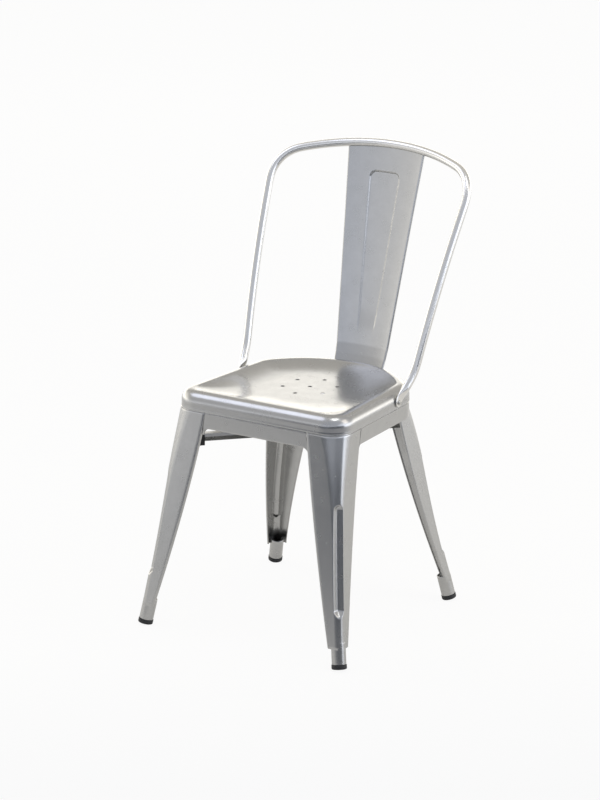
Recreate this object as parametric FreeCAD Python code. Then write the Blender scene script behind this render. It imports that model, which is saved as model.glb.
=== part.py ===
import FreeCAD, Part
import math
import os

# Metal bistro chair: pressed sheet seat on four pressed sheet legs, bent tube hoop and sheet splat.
# Millimetres, +Z up, floor at Z 0. The sitter faces -Y and X 0 is the mirror plane.

V = FreeCAD.Vector

# Sheet and clearances
panSheet = 1.2
legSheet = 1.5
apronSheet = 1.2
splatSheet = 1.2
nestGap = 0.3
seamGap = 0.15
cutOver = 1.0

# Seat pan
seatHeight = 450.0
panDepth = 32.6
frontHalfWidth = 185.0
seatDepth = 360.0
seatFrontY = -160.0
sideTaper = 3.15
frontCornerRadius = 54.0
rearArcRadius = 197.5
rearBlendRadius = 60.0
rimRadius = 21.0
rimSteps = 4
rimWidth = 24.0
dishDepth = 11.0
dishFrontRadius = 30.0
dishBlendRadius = 36.0
dishFrontGrowth = 0.35
dishBlendGrowth = 0.1
drainHole = 8.5
drainCircle = 51.0
drainOffset = 6.3
drainCount = 6

# Dish: distance in from the rim, and the share of the depth reached there
dishSteps = ((0.0, 0.0), (5.0, 0.21), (14.0, 0.47), (32.0, 0.74), (70.0, 1.0))

# Legs
legTuck = 12.0
apronHeight = 31.0
apronTuck = 5.0
rearTuck = 12.0
apronLip = 8.0
gussetDrop = 15.4
gussetRadius = 14.0
gussetWidth = 2.0
sideApronEnd = 48.0
rearApronStart = 61.0
legTopWidth = 73.0
rearTopWidth = 76.0
legFootWidth = 29.0
widthTaper = 1.1
flangeDepth = 7.0
flangeBend = 2.6
rearTopTurn = 54.5
rearTopRadius = 70.0
roundingRate = 6.0
legStations = (0.0, 0.09, 0.2, 0.42, 0.7, 1.0)
footSpreadFront = 29.8
footSpreadRear = 15.3
footReachFront = 51.4
footReachRear = 11.4
flangeEndZ = 40.0
frontKickX = 0.16
frontKickY = 0.17
rearKickX = 0.20
rearKickY = 0.15
frontCurveX = 1.4
frontCurveY = 1.0
rearCurveX = 1.2
rearCurveY = 1.4

# Foot socket and rubber plug
socketRadius = 13.25
socketOverlap = 8.0
socketSkin = 0.35
boreReach = 14.0
capRadius = 14.0
capHeight = 8.5
capBevel = 1.6
restFlat = 0.6
plugLength = 14.0
plugGap = 0.1

# Corner groove pressed into each leg
grooveSide = 15.5
grooveDrop = 91.4
grooveFootZ = 92.0
grooveRound = 14.0
groovePoint = 17.0
grooveRoundSteps = (0.15, 0.6, 1.0)
groovePointSteps = (1.0, 0.15)

# Brace bars under the seat and stacking bumpers
barDrop = 23.4
barHeight = 13.0
barWebWidth = 14.0
barWallDrop = 6.5
barFlare = 4.0
barSheet = 1.5
barLean = 0.6
crossFlat = 46.0
crossSlack = 1.0
rivetShank = 5.0
rivetHead = 11.0
rivetTip = 5.5
rivetCrown = 2.2
bumperLength = 14.0
bumperWidth = 26.0
bumperHang = 22.0
bumperCheek = 6.0
bumperSetback = 40.0
bumperScrew = 4.0
bumperHead = 7.5
bumperHeadTop = 5.9
bumperHeadHeight = 2.2
bumperBore = 12.0

# Back hoop, its corners measured from the seat's side, rear edge and top
tubeRadius = 8.0
tubeWall = 1.2
hoopBendOut = 0.6
hoopBendBack = -107.6
hoopBendRise = 28.0
hoopKneeOut = 15.2
hoopKneeBack = -55.5
hoopKneeRise = 177.4
hoopCornerOut = 34.3
hoopCornerBack = 42.0
hoopCornerRise = 372.0
hoopTopBack = 141.0
hoopTopRise = 417.5
hoopCornerRadius = 70.0
hoopKneeRadius = 2000.0
hoopFootRadius = 60.0
hoopTabBack = -147.0
hoopTabDrop = 21.0
tabWidth = 21.0
tabThickness = 3.4
tabLength = 13.0
tabTaper = 26.0

# Back splat
splatTopHalf = 83.0
splatFootHalf = 54.3
splatTopDrop = 21.5
splatTopBack = 94.0
splatBendRise = 25.0
splatFootDrop = 46.0
splatTopArc = 372.0
splatRoll = 2.6
splatFlareDrop = 33.0
panelTopHalf = 32.5
panelFootHalf = 17.0
panelTopDrop = 49.0
panelFootRise = 17.0
panelDepth = 3.0
panelFade = 0.5
panelCorner = 12.0
panelReach = 50.0

# Foot of the splat: heights under its bend, and how far the sheet has left the skirt there
splatKick = ((45.0, 0.0), (37.0, 1.5), (20.0, 9.0), (0.0, 16.0))

# Screws and nuts
screwShank = 5.0
screwHole = 5.6
screwHead = 10.0
screwCrown = 6.6
screwRim = 1.8
headHeight = 3.0
nutWidth = 8.0
nutHeight = 4.0
nutLift = 0.45
screwTip = 2.5
screwSlack = 0.1
splatScrewX = 30.0
splatScrewDrop = 26.0

# Counts of flat facets that stand for round forms
cornerCount = 6
blendCount = 4
rearCount = 10
bendCount = 2
splatCount = 8
hoopCounts = (2, 1, 5)
crownCount = 8
neckSteps = 3
neckCount = 16
capCount = 24
screwCount = 12

# Derived places
rearY = seatFrontY + seatDepth
skirtZ = seatHeight - panDepth
apronZ = skirtZ - apronHeight
tuckZ = skirtZ + legTuck
grooveTopZ = apronZ - grooveDrop
barTopZ = apronZ - barDrop
bumperCheekZ = barTopZ - bumperCheek
hoopTopZ = seatHeight + hoopTopRise
splatTopZ = hoopTopZ - splatTopDrop
splatTopY = rearY + splatTopBack
splatBendZ = seatHeight + splatBendRise
splatFootZ = seatHeight - splatFootDrop
panelTopZ = splatTopZ - panelTopDrop
panelFootZ = splatBendZ + panelFootRise
drainCentreY = seatFrontY + seatDepth / 2 + drainOffset
legInset = panSheet + nestGap
rearArcY = rearY - rearArcRadius
taper = math.radians(sideTaper)
sideNormal = V(math.cos(taper), math.sin(taper), 0)
sideReach = sideNormal.dot(V(frontHalfWidth, seatFrontY, 0))
rearCentre = V(0, rearArcY, 0)
splatFootArc = rearArcRadius + nestGap
splatFootY = rearArcY + math.sqrt(splatFootArc ** 2 - (splatFootHalf - splatRoll) ** 2)
up = V(0, 0, 1)


def outline(points):
    return Part.makePolygon(points + [points[0]])


def prism(points, rise):
    return Part.Face(outline(points)).extrude(rise)


def flip(p):
    return V(-p.x, p.y, p.z)


# Points round the arc of radius r that rounds the corner at p between the runs to a and to b
def roundCorner(a, p, b, r, count):
    u = (a - p).normalize()
    v = (b - p).normalize()
    half = u.getAngle(v) / 2
    centre = p + (u + v).normalize() * (r / math.sin(half))
    start = p + u * (r / math.tan(half)) - centre
    end = p + v * (r / math.tan(half)) - centre
    sweep = math.pi - 2 * half

    points = []
    for i in range(count + 1):
        a = sweep * i / count
        points.append(centre + (start * math.sin(sweep - a) + end * math.sin(a)) * (1 / math.sin(sweep)))
    return points


def ring(centre, axisX, axisY, sides):
    turns = [2 * math.pi * i / sides for i in range(sides)]
    return [centre + axisX * math.cos(a) + axisY * math.sin(a) for a in turns]


# One flat facet, or two triangles where the four corners don't share a plane
def facet(a, b, c, d):
    n = (c - a).cross(d - b).normalize()
    if abs(n.dot(b - a)) < 1e-5:
        return [Part.Face(outline([a, b, c, d]))]
    return [Part.Face(outline([a, b, c])), Part.Face(outline([a, c, d]))]


# Solid between rings of equal point count, closed by the first and the last ring
def facetSolid(rings):
    faces = [Part.Face(outline(rings[0])), Part.Face(outline(rings[-1]))]
    for low, high in zip(rings, rings[1:]):
        for i in range(len(low)):
            faces += facet(low[i - 1], low[i], high[i], high[i - 1])
    solid = Part.Solid(Part.Shell(faces))
    if solid.Volume < 0:
        solid.reverse()
    return solid


# Round piece along an axis, from (height, radius) steps
def turned(start, axis, profile, sides):
    lean = V(0, 1, 0) if abs(axis.z) > abs(axis.y) else up
    u = axis.cross(lean).normalize()
    v = axis.cross(u)
    return facetSolid([ring(start + axis * h, u * r, v * r, sides) for h, r in profile])


# Cutter for a screw or rivet, run both ways from its spot
def bore(spot, axis, radius, reach):
    return turned(spot, axis, [(-reach, radius), (reach, radius)], screwCount)


def mirrored(shape):
    return shape.mirror(V(0, 0, 0), V(1, 0, 0))


def largest(shape):
    return max(shape.Solids, key=lambda s: s.Volume)


# Plan outline of the seat, inset from the skirt's outer face: a straight front with round corners,
# tapered sides, and a rear arc that each side blends into
def outlineCentres(inset, frontR, blendR):
    frontY = seatFrontY + inset + frontR
    reach = sideReach - inset
    front = V((reach - frontR - sideNormal.y * frontY) / sideNormal.x, frontY, 0)
    along = V(-sideNormal.y, sideNormal.x, 0)
    off = reach - blendR - rearCentre.dot(sideNormal)
    span = rearArcRadius - inset - blendR
    blend = rearCentre + sideNormal * off + along * math.sqrt(span * span - off * off)
    return front, blend


def arcRing(c, r, a0, a1, count, z):
    turns = [a0 + (a1 - a0) * i / count for i in range(count + 1)]
    return [V(c.x + r * math.cos(a), c.y + r * math.sin(a), z) for a in turns]


def seatRing(inset, z, frontR=None, blendR=None):
    frontR = frontCornerRadius - inset if frontR is None else frontR
    blendR = rearBlendRadius - inset if blendR is None else blendR
    front, blend = outlineCentres(inset, frontR, blendR)
    turn = math.atan2(blend.y - rearArcY, blend.x)
    half = arcRing(front, frontR, -math.pi / 2, taper, cornerCount, z)
    half += arcRing(blend, blendR, taper, turn, blendCount, z)
    half += arcRing(rearCentre, rearArcRadius - inset, turn, math.pi / 2, rearCount // 2, z)[1:]
    return half + [flip(p) for p in reversed(half[:-1])]


# How far a flat facet of the rear arc falls inside the arc itself
def rearSag():
    blend = outlineCentres(0.0, frontCornerRadius, rearBlendRadius)[1]
    span = math.pi - 2 * math.atan2(blend.y - rearArcY, blend.x)
    return rearArcRadius * (1 - math.cos(span / rearCount / 2))


# Seat pan: one skin climbs the skirt, rolls over the rim and drops into the dish
def panSkin(depth, foot):
    rings = [seatRing(depth, foot)]
    for i in range(rimSteps + 1):
        a = math.pi / 2 * i / rimSteps
        inset = rimRadius - (rimRadius - depth) * math.cos(a)
        z = seatHeight - rimRadius + (rimRadius - depth) * math.sin(a)
        rings.append(seatRing(inset, z))
    for run, share in dishSteps:
        z = seatHeight - depth - dishDepth * share
        frontR = dishFrontRadius + run * dishFrontGrowth
        rings.append(seatRing(rimWidth + run, z, frontR, dishBlendRadius + run * dishBlendGrowth))
    return facetSolid(rings)


def makePan():
    pan = panSkin(0.0, skirtZ).cut(panSkin(panSheet, skirtZ - cutOver))
    for i in range(drainCount + 1):
        a = math.radians(90.0 + 360.0 * i / drainCount)
        r = 0.0 if i == drainCount else drainCircle
        spot = V(r * math.cos(a), drainCentreY + r * math.sin(a), skirtZ)
        pan = pan.cut(Part.makeCylinder(drainHole / 2, panDepth + cutOver, spot))
    return largest(pan.cut(screwBores()))


# One horizontal section of a leg: two faces, a rounded outer corner and inward edge flanges
def legRing(P, uA, uB, w, R, sheet):
    nA = (uB - uA * uB.dot(uA)).normalize()
    nB = (uA - uB * uA.dot(uB)).normalize()

    def side(u, n):
        edge = P + u * w
        bend = roundCorner(edge + n * w, edge, P, flangeBend, bendCount)
        back = edge + n * flangeDepth
        return [back] + bend, [back - u * sheet, edge - u * sheet + n * sheet]

    outA, inA = side(uA, nA)
    outB, inB = side(uB, nB)
    outside = outA + roundCorner(P + uA * w, P, P + uB * w, R, cornerCount) + outB[::-1]
    if not sheet:
        return outside
    inner = P + (uA * (1 / uA.dot(nB)) + uB * (1 / uB.dot(nA))) * sheet
    inside = roundCorner(inner + uB * w, inner, inner + uA * w, R - sheet, cornerCount)
    return outside + inB + inside + inA[::-1]


def legPlan(front):
    if front:
        foot = V(frontHalfWidth + footSpreadFront, seatFrontY - footReachFront, 0)
        kick = V(frontKickX, -frontKickY, 0)
        out = V(1, -1, 0)
        curve = (frontCurveX, frontCurveY)
        topR = frontCornerRadius - legInset
        y = seatFrontY + legInset
        top = V((sideReach - legInset - sideNormal.y * y) / sideNormal.x, y, 0)
    else:
        foot = V(frontHalfWidth + footSpreadRear, rearY + footReachRear, 0)
        kick = V(rearKickX, rearKickY, 0)
        out = V(1, 1, 0)
        curve = (rearCurveX, rearCurveY)
        topR = rearTopRadius
        turn = math.radians(rearTopTurn)
        reach = rearArcRadius - legInset - topR
        top = rearCentre + V(math.cos(turn), math.sin(turn), 0) * reach + out * topR
    knee = foot - kick * flangeEndZ + out * (socketRadius + socketSkin)
    return foot, kick, curve, topR, top, knee


def legStation(front, z):
    foot, kick, curve, topR, top, knee = legPlan(front)
    t = min(max((apronZ - z) / (apronZ - flangeEndZ), 0.0), 1.0)
    x = top.x + (knee.x - top.x) * t ** curve[0]
    y = top.y + (knee.y - top.y) * t ** curve[1]
    footR = socketRadius + socketSkin
    R = footR + (topR - footR) * (1.0 - t) ** roundingRate
    topW = legTopWidth if front else rearTopWidth
    w = legFootWidth + (topW - legFootWidth) * (1.0 - t) ** widthTaper
    uA = V(-1, 0, 0)
    uB = V(-math.sin(taper), math.cos(taper), 0) if front else V(0, -1, 0)
    return V(x, y, z), uA, uB, w, R


def legSolid(front, sheet, inward=0.0):
    rings = []
    body = apronZ - flangeEndZ
    for z in [tuckZ] + [apronZ - body * s for s in legStations]:
        P, uA, uB, w, R = legStation(front, z)
        rings.append(legRing(P + (uA + uB) * inward, uA, uB, w, R, sheet))
    return facetSolid(rings)


# Groove: the outer corner is pushed in until it becomes an inner corner
def grooveTool(front, grow):
    rounds = [(grooveTopZ - grooveRound * (1 - math.sqrt(1 - s * s)), s) for s in grooveRoundSteps]
    points = [(grooveFootZ + groovePoint * s, s) for s in groovePointSteps]
    rings = []
    for z, s in rounds + points:
        P, uA, uB, w, R = legStation(front, z)
        P = P + (uA + uB) * (R * (1 - math.sqrt(0.5)) * (1 - s))
        side = grooveSide * s + grow
        inner = P + (uA + uB) * side
        outer = P - (uA + uB) * grooveSide
        rings.append([inner, inner - uB * (side + grooveSide), outer, inner - uA * (side + grooveSide)])
    return facetSolid(rings)


def footAxis(front):
    foot, kick, curve, topR, top, knee = legPlan(front)
    axis = V(-kick.x, -kick.y, 1.0).normalize()
    tilt = math.atan(math.hypot(kick.x, kick.y))
    centre = V(foot.x, foot.y, 0) + axis * (capRadius * math.tan(tilt) - restFlat)
    return centre, axis


def makeLeg(front):
    small = grooveTool(front, 0.0)
    liner = grooveTool(front, legSheet).cut(small).common(legSolid(front, 0.0))
    centre, axis = footAxis(front)
    start = centre + axis * capHeight
    length = flangeEndZ / axis.z - capHeight + socketOverlap
    tube = Part.makeCylinder(socketRadius, length, start, axis)
    hollow = Part.makeCylinder(socketRadius - legSheet, length + boreReach, start - axis, axis)
    return largest(legSolid(front, legSheet).cut(small).fuse([liner, tube]).cut(hollow))


# Rubber plug: bevelled cap cut flat where it meets the floor, and a stem up the socket
def makePlug(front):
    centre, axis = footAxis(front)
    stemRadius = socketRadius - legSheet - plugGap
    capTop = capHeight - nestGap
    profile = [(0.0, capRadius - capBevel), (capBevel, capRadius), (capTop, capRadius)]
    profile += [(capTop, stemRadius), (capHeight + plugLength, stemRadius)]
    size = capRadius * 4
    floor = Part.makeBox(size, size, size, V(centre.x - size / 2, centre.y - size / 2, -size))
    return largest(turned(centre, axis, profile, capCount).cut(floor))


# Aprons: strips under the skirt with an inward lower lip
def apronBand(z0, z1, width):
    outer = Part.Face(outline(seatRing(legInset, z0)))
    inner = Part.Face(outline(seatRing(legInset + width, z0)))
    return outer.cut(inner).extrude(V(0, 0, z1 - z0))


def apronRing(top):
    return apronBand(apronZ, top, apronSheet).fuse(apronBand(apronZ, apronZ + apronSheet, apronLip))


# Upright sector of the rear arc between two polar angles
def wedge(a0, a1, z):
    far = rearArcRadius * 2
    points = [rearCentre + V(math.cos(a), math.sin(a), 0) * far for a in (a0, (a0 + a1) / 2, a1)]
    return prism([V(p.x, p.y, z) for p in [rearCentre] + points], up * panDepth * 3)


def makeSideApron():
    P, uA, uB, w, R = legStation(True, apronZ)
    startY = P.y + w * uB.y + seamGap
    end = math.radians(sideApronEnd)
    far = rearArcRadius * 2
    mid = rearCentre + V(math.cos(end), math.sin(end), 0) * far
    keep = [V(0, startY, apronZ), V(far, startY, apronZ), V(far, mid.y, apronZ), mid + up * apronZ]
    keep.append(rearCentre + up * apronZ)
    return largest(apronRing(skirtZ + apronTuck).common(prism(keep, up * panDepth * 2)))


def makeRearApron():
    start = math.radians(rearApronStart)
    strip = apronRing(skirtZ + rearTuck).common(wedge(start, math.pi - start, apronZ))
    return largest(strip.cut(screwBores()))


def makeFrontApron():
    y0 = seatFrontY + legInset
    top = skirtZ + apronTuck
    P, uA, uB, w, R = legStation(True, apronZ)
    Q, uA, uB, wq, R = legStation(True, apronZ - gussetDrop)
    edge = P.x - w - seamGap
    corner = V(edge - gussetWidth, y0, apronZ)
    low = V(Q.x - wq - seamGap, y0, apronZ - gussetDrop)
    tip = low - V(gussetWidth, 0, 0)
    gusset = roundCorner(tip, corner, V(0, y0, apronZ), gussetRadius, bendCount)
    half = [V(edge, y0, top), V(edge, y0, apronZ), low, tip] + gusset
    plate = prism(half + [flip(p) for p in reversed(half)], V(0, apronSheet, 0))
    inner = gusset[-1].x
    lip = Part.makeBox(inner * 2, apronLip, apronSheet, V(-inner, y0, apronZ))
    return largest(plate.fuse(lip))


# Brace bars: hat sections along the diagonals, crossing in a halved joint
def barEnds():
    z = barTopZ - barHeight / 2
    F = legStation(True, z)[0]
    B = legStation(False, z)[0]
    return V(-F.x, F.y, 0), V(B.x, B.y, 0)


def barFrame():
    a, b = barEnds()
    along = (b - a).normalize()
    return a, b, along, V(-along.y, along.x, 0)


def crossing():
    a, b, along, across = barFrame()
    return a + along * (-a.x / along.x)


def hatPrism(start, along, across, length, grow):
    h = barWebWidth / 2
    s = barSheet
    top = barTopZ
    wall = top - barWallDrop
    low = top - barHeight
    g = grow
    outer = [(-h - g, top + g), (h + g, top + g), (h + g, wall), (h + barFlare + g, low - g)]
    inner = [(h + barFlare - s - g, low - g), (h - s - g, wall - barLean), (h - s - g, top - s - g)]
    pts = outer + inner + [(-x, z) for x, z in reversed(inner)] + [(-x, z) for x, z in reversed(outer[2:])]
    return prism([V(start.x + across.x * x, start.y + across.y * x, z) for x, z in pts], along * length)


def slab(c, along, across, length, width, z0, z1):
    a = along * (length / 2)
    b = across * (width / 2)
    points = [c - a - b, c + a - b, c + a + b, c - a + b]
    return prism([V(p.x, p.y, z0) for p in points], up * (z1 - z0))


def trimBar(bar, along):
    bar = largest(bar.cut(mirrored(legSolid(True, legSheet, nestGap))))
    return largest(bar.cut(legSolid(False, legSheet, nestGap)))


def bumperSpots():
    a, b, along, across = barFrame()
    corner = socketRadius + bumperSetback
    return a + along * corner, b - along * corner


# Upright cutter through the bars at a spot
def pin(spot, radius):
    return bore(V(spot.x, spot.y, barTopZ), up, radius, barHeight)


def makeBars():
    a, b, along, across = barFrame()
    c = crossing()
    length = (b - a).Length
    base = hatPrism(a, along, across, length, 0.0)
    for spot in bumperSpots():
        base = base.cut(pin(spot, bumperScrew / 2 + screwSlack))
    webUnder = barTopZ - barSheet
    low = barTopZ - barHeight - cutOver
    eye = pin(c, rivetShank / 2 + screwSlack)
    crossAlong = V(-along.x, along.y, 0)
    crossAcross = V(across.x, -across.y, 0)
    notch = slab(c, crossAlong, crossAcross, crossFlat, barWebWidth + crossSlack * 2, low, webUnder)
    upper = trimBar(base.cut([notch, eye]), along)
    gap = slab(c, along, across, crossFlat, crossFlat, low, barTopZ + cutOver)
    z1 = webUnder - seamGap
    z0 = z1 - barSheet
    strip = slab(c, along, across, crossFlat + barSheet * 2, barWebWidth, z0, z1)
    middle = slab(c, along, across, crossFlat, barWebWidth + cutOver * 2, z0, barTopZ)
    riser = slab(c, along, across, crossFlat + barSheet * 2, barWebWidth, z0, barTopZ).cut(middle)
    lower = base.cut(gap).fuse([strip, riser]).cut(eye)
    return upper, mirrored(trimBar(lower, along))


def makeRivet():
    c = crossing()
    under = barTopZ - barSheet * 2 - seamGap * 2
    top = barTopZ + seamGap - under
    profile = [(-rivetCrown / 2, rivetTip / 2), (0.0, rivetTip), (0.0, rivetShank / 2), (top, rivetShank / 2)]
    profile += [(top, rivetHead / 2), (top + rivetCrown, rivetTip / 2)]
    return turned(V(c.x, c.y, under), up, profile, screwCount)


# Rubber saddle under the bar that the next chair of a stack lands on
def makeBumper(spot):
    a, b, along, across = barFrame()
    block = slab(spot, along, across, bumperLength, bumperWidth, barTopZ - bumperHang, bumperCheekZ)
    hat = hatPrism(spot - along * bumperLength, along, across, bumperLength * 2, nestGap)
    screw = bore(spot + up * bumperCheekZ, up, bumperScrew / 2 + screwSlack, bumperBore)
    return largest(block.cut([hat, screw]))


def makeBumperScrew(spot):
    foot = bumperCheekZ - bumperBore + cutOver
    top = barTopZ + seamGap - foot
    profile = [(0.0, bumperScrew / 2), (top, bumperScrew / 2), (top, bumperHead / 2)]
    profile.append((top + bumperHeadHeight, bumperHeadTop / 2))
    return turned(spot + up * foot, up, profile, screwCount)


# Back hoop: the corner points of one side and where its flat end is screwed to the skirt
def hoopScrew():
    n = sideNormal
    y = rearY + hoopTabBack
    return V((sideReach - n.y * y) / n.x, y, seatHeight - hoopTabDrop), n


def hoopPoints():
    spot, n = hoopScrew()
    bend = V(frontHalfWidth + hoopBendOut, rearY + hoopBendBack, seatHeight + hoopBendRise)
    seat = spot + n * (tabThickness / 2 + seamGap)
    rise = bend - seat
    slope = (rise - n * rise.dot(n)).normalize()
    tabTop = seat + slope * (tabLength / 2)
    start = tabTop + (bend - tabTop).normalize() * tabTaper
    knee = V(frontHalfWidth + hoopKneeOut, rearY + hoopKneeBack, seatHeight + hoopKneeRise)
    corner = V(frontHalfWidth + hoopCornerOut, rearY + hoopCornerBack, seatHeight + hoopCornerRise)
    return seat, slope, n, tabTop, [start, bend, knee, corner, V(0, rearY + hoopTopBack, hoopTopZ)]


# The tube's middle line: the three bends of one side, then the crown from side to side
def hoopLine():
    pts = hoopPoints()[4]
    side = [pts[0]]
    bends = zip(pts, pts[1:], pts[2:], (hoopFootRadius, hoopKneeRadius, hoopCornerRadius), hoopCounts)
    for a, p, b, r, count in bends:
        side += roundCorner(a, p, b, r, count)
    top = pts[-1]
    run = side[-1] - top
    half = run.getAngle(flip(run)) / 2
    crown = roundCorner(side[-1], top, flip(side[-1]), run.Length * math.tan(half), crownCount)
    return side, crown


# Tube with mitred joints along a run of points
def pipe(points, r):
    section = Part.Wire(Part.makeCircle(r, points[0], points[1] - points[0]))
    return Part.makePolygon(points).makePipeShell([section], True, False, 1)


def hoopTube(r):
    side, crown = hoopLine()
    return pipe(side + crown[1:-1] + [flip(p) for p in reversed(side)], r)


# Neck between the round tube and the flat tab, pressed flatter and wider step by step
def hoopEnd():
    seat, slope, n, tabTop, pts = hoopPoints()
    rings = []
    for i in range(neckSteps + 1):
        f = i / neckSteps
        along = ((pts[1] - pts[0]).normalize() * (1 - f) + slope * f).normalize()
        across = along.cross(n).normalize()
        wide = tubeRadius + (tabWidth / 2 - tubeRadius) * f
        thick = tubeRadius + (tabThickness / 2 - tubeRadius) * f
        out = across.cross(along)
        rings.append(ring(pts[0] + (tabTop - pts[0]) * f, across * wide, out * thick, neckCount))
    across = slope.cross(n).normalize() * (tabWidth / 2)
    tip = [seat + across * math.cos(a) - slope * (tabWidth / 2 * math.sin(a))
           for a in [math.pi * i / cornerCount for i in range(cornerCount + 1)]]
    tab = [tabTop + across] + tip + [tabTop - across]
    plate = prism([p - n * (tabThickness / 2) for p in tab], n * tabThickness)
    return facetSolid(rings).fuse(plate)


def makeHoop():
    end = hoopEnd()
    tube = hoopTube(tubeRadius).cut(hoopTube(tubeRadius - tubeWall))
    return largest(tube.fuse([end, mirrored(end)]).cut(screwBores()))


# Back splat: sheet with its side edges rolled back, recessed panel, foot wrapped on the rear skirt
def splatHeights():
    return [splatFootZ] + [splatBendZ - drop for drop, out in splatKick] + [splatTopZ]


def splatShape(z):
    outs = [0.0] + [out for drop, out in splatKick] + [splatTopY - splatFootY]
    steps = list(zip(splatHeights(), outs))
    for (za, ya), (zb, yb) in zip(steps, steps[1:]):
        if z <= zb:
            break
    y = splatFootY + ya + (yb - ya) * (z - za) / (zb - za)
    flareZ = splatBendZ - splatFlareDrop
    share = max(z - flareZ, 0.0) / (splatTopZ - flareZ)
    h = splatFootHalf + (splatTopHalf - splatFootHalf) * share
    return y, h - splatRoll, splatFootArc + (splatTopArc - splatFootArc) * share


def splatRing(z, near, far):
    y, h, radius = splatShape(z)
    phi = math.asin(h / radius)
    centre = V(0, y - radius * math.cos(phi), 0)
    start = math.pi / 2 - phi
    end = math.pi / 2 + phi
    rear = arcRing(centre, radius + far, end, start, splatCount, z)
    return arcRing(centre, radius + near, start, end, splatCount, z) + rear


# Hem: the sheet's side edge rolled back into a round bead
def splatHem():
    spots = []
    for z in splatHeights():
        y, h, radius = splatShape(z)
        spots.append(V(h, y, z) + V(h / radius, 1, 0).normalize() * splatRoll)
    return pipe(spots, splatRoll)


def panelPrism(grow):
    top = panelTopZ + grow
    foot = panelFootZ - grow
    a = panelTopHalf + grow
    b = panelFootHalf + grow
    low = V(b, splatFootY - panelReach, foot)
    crown = V(a, low.y, top)
    half = [low] + roundCorner(low, crown, flip(crown), panelCorner + grow, bendCount * 2)
    return prism(half + [flip(p) for p in reversed(half)], V(0, splatTopY, 0))


def panelLoft(near, far):
    rings = []
    for z in (splatBendZ, splatTopZ):
        share = (z - panelFootZ) / (panelTopZ - panelFootZ)
        depth = panelFade + (panelDepth - panelFade) * share
        rings.append(splatRing(z, near(depth), far(depth)))
    return facetSolid(rings)


def makeSplat():
    sheet = facetSolid([splatRing(z, 0.0, splatSheet) for z in splatHeights()])
    hem = splatHem()
    boss = panelLoft(lambda d: splatSheet / 2, lambda d: d + splatSheet).common(panelPrism(splatSheet))
    recess = panelLoft(lambda d: -panelDepth, lambda d: d).common(panelPrism(0.0))
    above = pipe(hoopLine()[1], tubeRadius + nestGap)
    splat = sheet.fuse([boss, hem, mirrored(hem)]).cut([recess, above])
    return largest(splat.cut(screwBores()))


# Screws through the skirt and their nuts inside
def splatScrews():
    spots = []
    for x in (-splatScrewX, splatScrewX):
        n = V(x, math.sqrt(rearArcRadius ** 2 - x * x), 0).normalize()
        spots.append((rearCentre + n * rearArcRadius + up * (seatHeight - splatScrewDrop), n))
    return spots


def hoopScrews():
    spot, n = hoopScrew()
    return [(spot, n), (flip(spot), flip(n))]


def screwBores():
    return [bore(spot, n, screwHole / 2, screwHead * 2) for spot, n in hoopScrews() + splatScrews()]


def screwGroup(spots, seat, nutSeat):
    screws = []
    nuts = []
    for spot, n in spots:
        nutTop = spot - n * nutSeat
        under = nutSeat + seat + seamGap
        tip = -nutHeight - screwTip
        profile = [(tip, screwShank / 2), (under, screwShank / 2), (under, screwHead / 2)]
        profile += [(under + screwRim, screwHead / 2), (under + headHeight, screwCrown / 2)]
        screws.append(turned(nutTop, n, profile, screwCount))
        side = n.cross(up)
        reach = nutWidth / math.sqrt(3)
        nut = prism(ring(nutTop, side * reach, up * reach, 6), n * -nutHeight)
        nuts.append(nut.cut(bore(nutTop, n, screwShank / 2 + screwSlack, screwHead)))
    return Part.makeCompound(screws), Part.makeCompound(nuts)


parts = {"seat_pan": makePan(), "apron_front": makeFrontApron(), "apron_rear": makeRearApron()}
parts["apron_right"] = makeSideApron()
parts["apron_left"] = mirrored(parts["apron_right"])
for name, front in (("front", True), ("rear", False)):
    parts["leg_" + name + "_right"] = makeLeg(front)
    parts["leg_" + name + "_left"] = mirrored(parts["leg_" + name + "_right"])
    parts["foot_plug_" + name + "_right"] = makePlug(front)
    parts["foot_plug_" + name + "_left"] = mirrored(parts["foot_plug_" + name + "_right"])
parts["brace_bar_upper"], parts["brace_bar_lower"] = makeBars()
parts["brace_rivet"] = makeRivet()
spots = bumperSpots()
bumpers = [makeBumper(s) for s in spots]
bumperScrews = [makeBumperScrew(s) for s in spots]
parts["bumper_front_left"] = bumpers[0]
parts["bumper_rear_right"] = bumpers[1]
parts["bumper_front_right"] = mirrored(bumpers[0])
parts["bumper_rear_left"] = mirrored(bumpers[1])
parts["bumper_screws"] = Part.makeCompound(bumperScrews + [mirrored(s) for s in bumperScrews])
parts["back_hoop"] = makeHoop()
parts["back_splat"] = makeSplat()
tabSeat = tabThickness + seamGap
parts["hoop_screws"], parts["hoop_nuts"] = screwGroup(hoopScrews(), tabSeat, panSheet + nutLift)
rearSeat = legInset + apronSheet + seamGap + rearSag()
parts["splat_screws"], parts["splat_nuts"] = screwGroup(splatScrews(), nestGap + splatSheet, rearSeat)

# The origin stands under the middle of the chair's box
boxes = [parts[name].optimalBoundingBox(False, False) for name in ("foot_plug_front_right", "back_hoop")]
shift = V(0, -(boxes[0].YMin + boxes[1].YMax) / 2, 0)
os.makedirs("parts", exist_ok=True)
for name, shape in parts.items():
    shape.translate(shift)
    shape.exportStep("parts/" + name + ".step")
    print(name, len(shape.Solids), shape.isValid(), round(shape.Volume), flush=True)
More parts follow.
